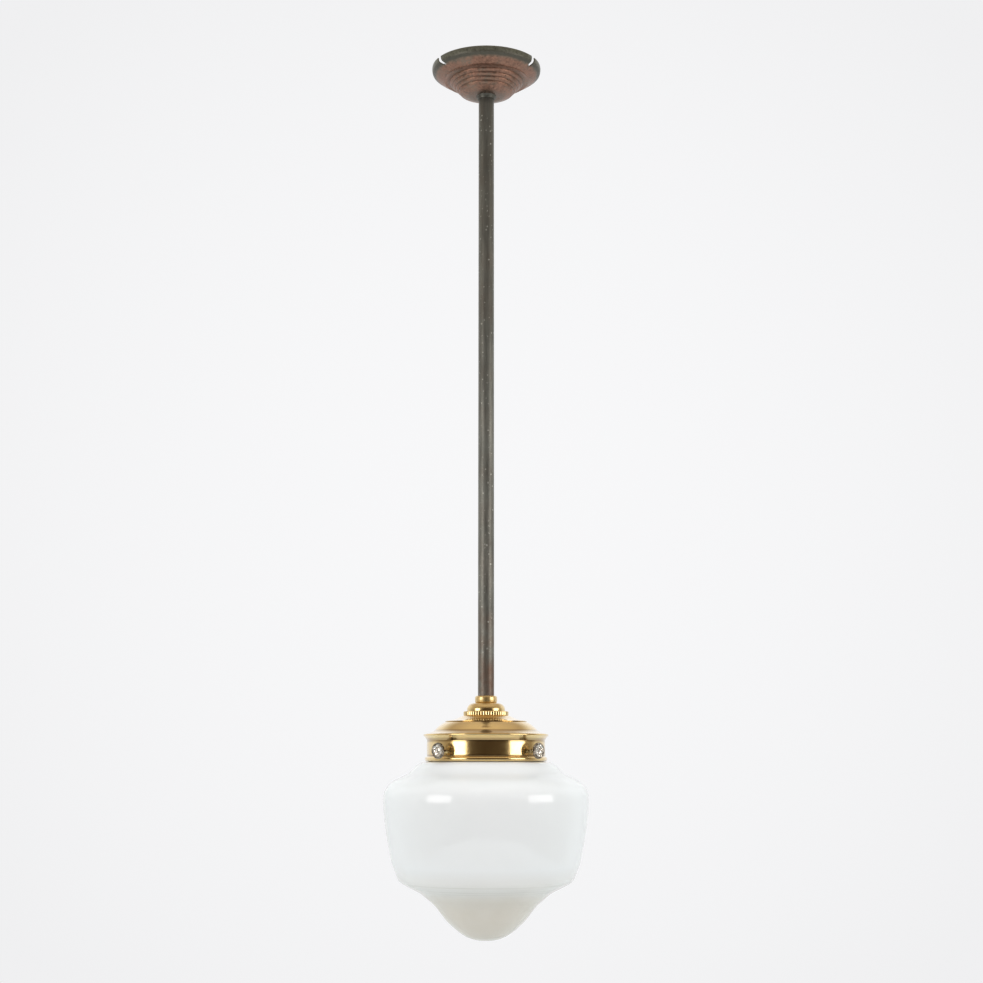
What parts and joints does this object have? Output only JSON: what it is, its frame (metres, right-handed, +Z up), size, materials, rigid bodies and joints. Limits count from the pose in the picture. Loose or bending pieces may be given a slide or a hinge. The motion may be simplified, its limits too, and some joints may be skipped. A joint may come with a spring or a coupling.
{
  "type": "pendant light",
  "caption": "Schoolhouse pendant light: copper ceiling rose, slim dark rod, polished brass gallery with thumbscrews and an acorn-tipped opal glass shade.",
  "frame": {"origin": "centre of the ceiling plate's upper face, in the ceiling plane", "axes": "+Z up along the rod, -Y the front as pictured, +X to the picture's right"},
  "size_m": [0.1596, 0.1596, 0.7071],
  "materials": {
    "galvanised_steel": "zinc plated",
    "aged_bronze": "dark patinated bronze",
    "copper": "aged copper plate with dark hollows",
    "polished_brass": "polished and lacquered",
    "plain_brass": "unpolished",
    "nickel": "polished nickel plate",
    "screw_steel": "plain",
    "opal_glass": "white opal, glossy",
    "porcelain": "glazed porcelain",
    "terminal_plastic": "moulded",
    "flex_sheath": "matt",
    "brown_insulation": "matt",
    "blue_insulation": "matt",
    "green_insulation": "matt",
    "lamp_cap_metal": "plain",
    "lamp_contact_metal": "soldered",
    "lamp_insulator": "black glass",
    "lamp_glass": "clear",
    "filament": "plain"
  },
  "bodies": {
    "fixture": {"ceiling_plate": "galvanised_steel", "stirrup": "galvanised_steel", "stirrup_rivets": "galvanised_steel", "rod_nut_upper": "galvanised_steel", "rod_nut_lower": "galvanised_steel", "rod": "aged_bronze", "rod_ferrule": "polished_brass", "lampholder_cap": "polished_brass", "upper_shade_ring": "polished_brass", "gallery": "polished_brass", "entry_nipple": "plain_brass", "cap_locknut": "plain_brass", "lower_shade_ring": "plain_brass", "lampholder_body": "plain_brass", "bayonet_shell": "plain_brass", "holder_terminals": "plain_brass", "screw_bushes": "plain_brass", "terminal_sleeves": "plain_brass", "terminal_screws": "screw_steel", "contact_springs": "screw_steel", "glass_neck": "opal_glass", "glass_collar": "opal_glass", "glass_shoulder": "opal_glass", "glass_body": "opal_glass", "glass_tip": "opal_glass", "contact_block": "porcelain", "terminal_block": "terminal_plastic", "flex_sheath": "flex_sheath", "live_core_top": "brown_insulation", "live_core_foot": "brown_insulation", "neutral_core_top": "blue_insulation", "neutral_core_foot": "blue_insulation", "earth_core_top": "green_insulation", "earth_core_foot": "green_insulation"},
    "rose": {"ceiling_rose": "copper", "rose_collar": "aged_bronze", "rose_grub_screw": "screw_steel"},
    "plungers": {"contact_plungers": "plain_brass"},
    "lamp": {"lamp_cap": "lamp_cap_metal", "lamp_pins": "lamp_cap_metal", "lamp_insulator": "lamp_insulator", "lamp_contacts": "lamp_contact_metal", "lamp_bulb": "lamp_glass", "lamp_stem": "lamp_glass", "lamp_filament": "filament"},
    "screw_shank_1": {"gallery_screw_shank_1": "nickel"},
    "screw_head_1": {"gallery_screw_head_1": "nickel"},
    "screw_shank_2": {"gallery_screw_shank_2": "nickel"},
    "screw_head_2": {"gallery_screw_head_2": "nickel"},
    "screw_shank_3": {"gallery_screw_shank_3": "nickel"},
    "screw_head_3": {"gallery_screw_head_3": "nickel"},
    "screw_shank_4": {"gallery_screw_shank_4": "nickel"},
    "screw_head_4": {"gallery_screw_head_4": "nickel"}
  },
  "joints": [
    {"name": "rose_slide", "type": "slide", "parent": "fixture", "child": "rose", "axis": [0, 0, -1], "range_m": [0, 0.45]},
    {"name": "lamp_push", "type": "slide", "parent": "fixture", "child": "lamp", "axis": [0, 0, 1], "range_m": [0, 0.0025], "stiffness_N_per_m": 3000, "springref_m": -0.002},
    {"name": "plunger_push", "type": "slide", "parent": "fixture", "child": "plungers", "axis": [0, 0, 1], "range_m": [0, 0.0025], "deforming": ["contact_springs"]},
    {"name": "screw_1_travel", "type": "slide", "parent": "fixture", "child": "screw_shank_1", "axis": [-0.6704, -0.742, 0], "range_m": [0, 0.006]},
    {"name": "screw_1_turn", "type": "hinge", "parent": "screw_shank_1", "child": "screw_head_1", "pos_m": [-0.03627, -0.04014, -0.5634], "axis": [-0.6704, -0.742, 0], "range_deg": [0, 3086]},
    {"name": "screw_2_travel", "type": "slide", "parent": "fixture", "child": "screw_shank_2", "axis": [0.742, -0.6704, 0], "range_m": [0, 0.006]},
    {"name": "screw_2_turn", "type": "hinge", "parent": "screw_shank_2", "child": "screw_head_2", "pos_m": [0.04014, -0.03627, -0.5634], "axis": [0.742, -0.6704, 0], "range_deg": [0, 3086]},
    {"name": "screw_3_travel", "type": "slide", "parent": "fixture", "child": "screw_shank_3", "axis": [0.6704, 0.742, 0], "range_m": [0, 0.006]},
    {"name": "screw_3_turn", "type": "hinge", "parent": "screw_shank_3", "child": "screw_head_3", "pos_m": [0.03627, 0.04014, -0.5634], "axis": [0.6704, 0.742, 0], "range_deg": [0, 3086]},
    {"name": "screw_4_travel", "type": "slide", "parent": "fixture", "child": "screw_shank_4", "axis": [-0.742, 0.6704, 0], "range_m": [0, 0.006]},
    {"name": "screw_4_turn", "type": "hinge", "parent": "screw_shank_4", "child": "screw_head_4", "pos_m": [-0.04014, 0.03627, -0.5634], "axis": [-0.742, 0.6704, 0], "range_deg": [0, 3086]}
  ],
  "couplings": [
    {"joint": "plunger_push", "follows": "lamp_push", "ratio": 1},
    {"joint": "screw_1_turn", "follows": "screw_1_travel", "rad_per_m": 8976},
    {"joint": "screw_2_turn", "follows": "screw_2_travel", "rad_per_m": 8976},
    {"joint": "screw_3_turn", "follows": "screw_3_travel", "rad_per_m": 8976},
    {"joint": "screw_4_turn", "follows": "screw_4_travel", "rad_per_m": 8976}
  ]
}
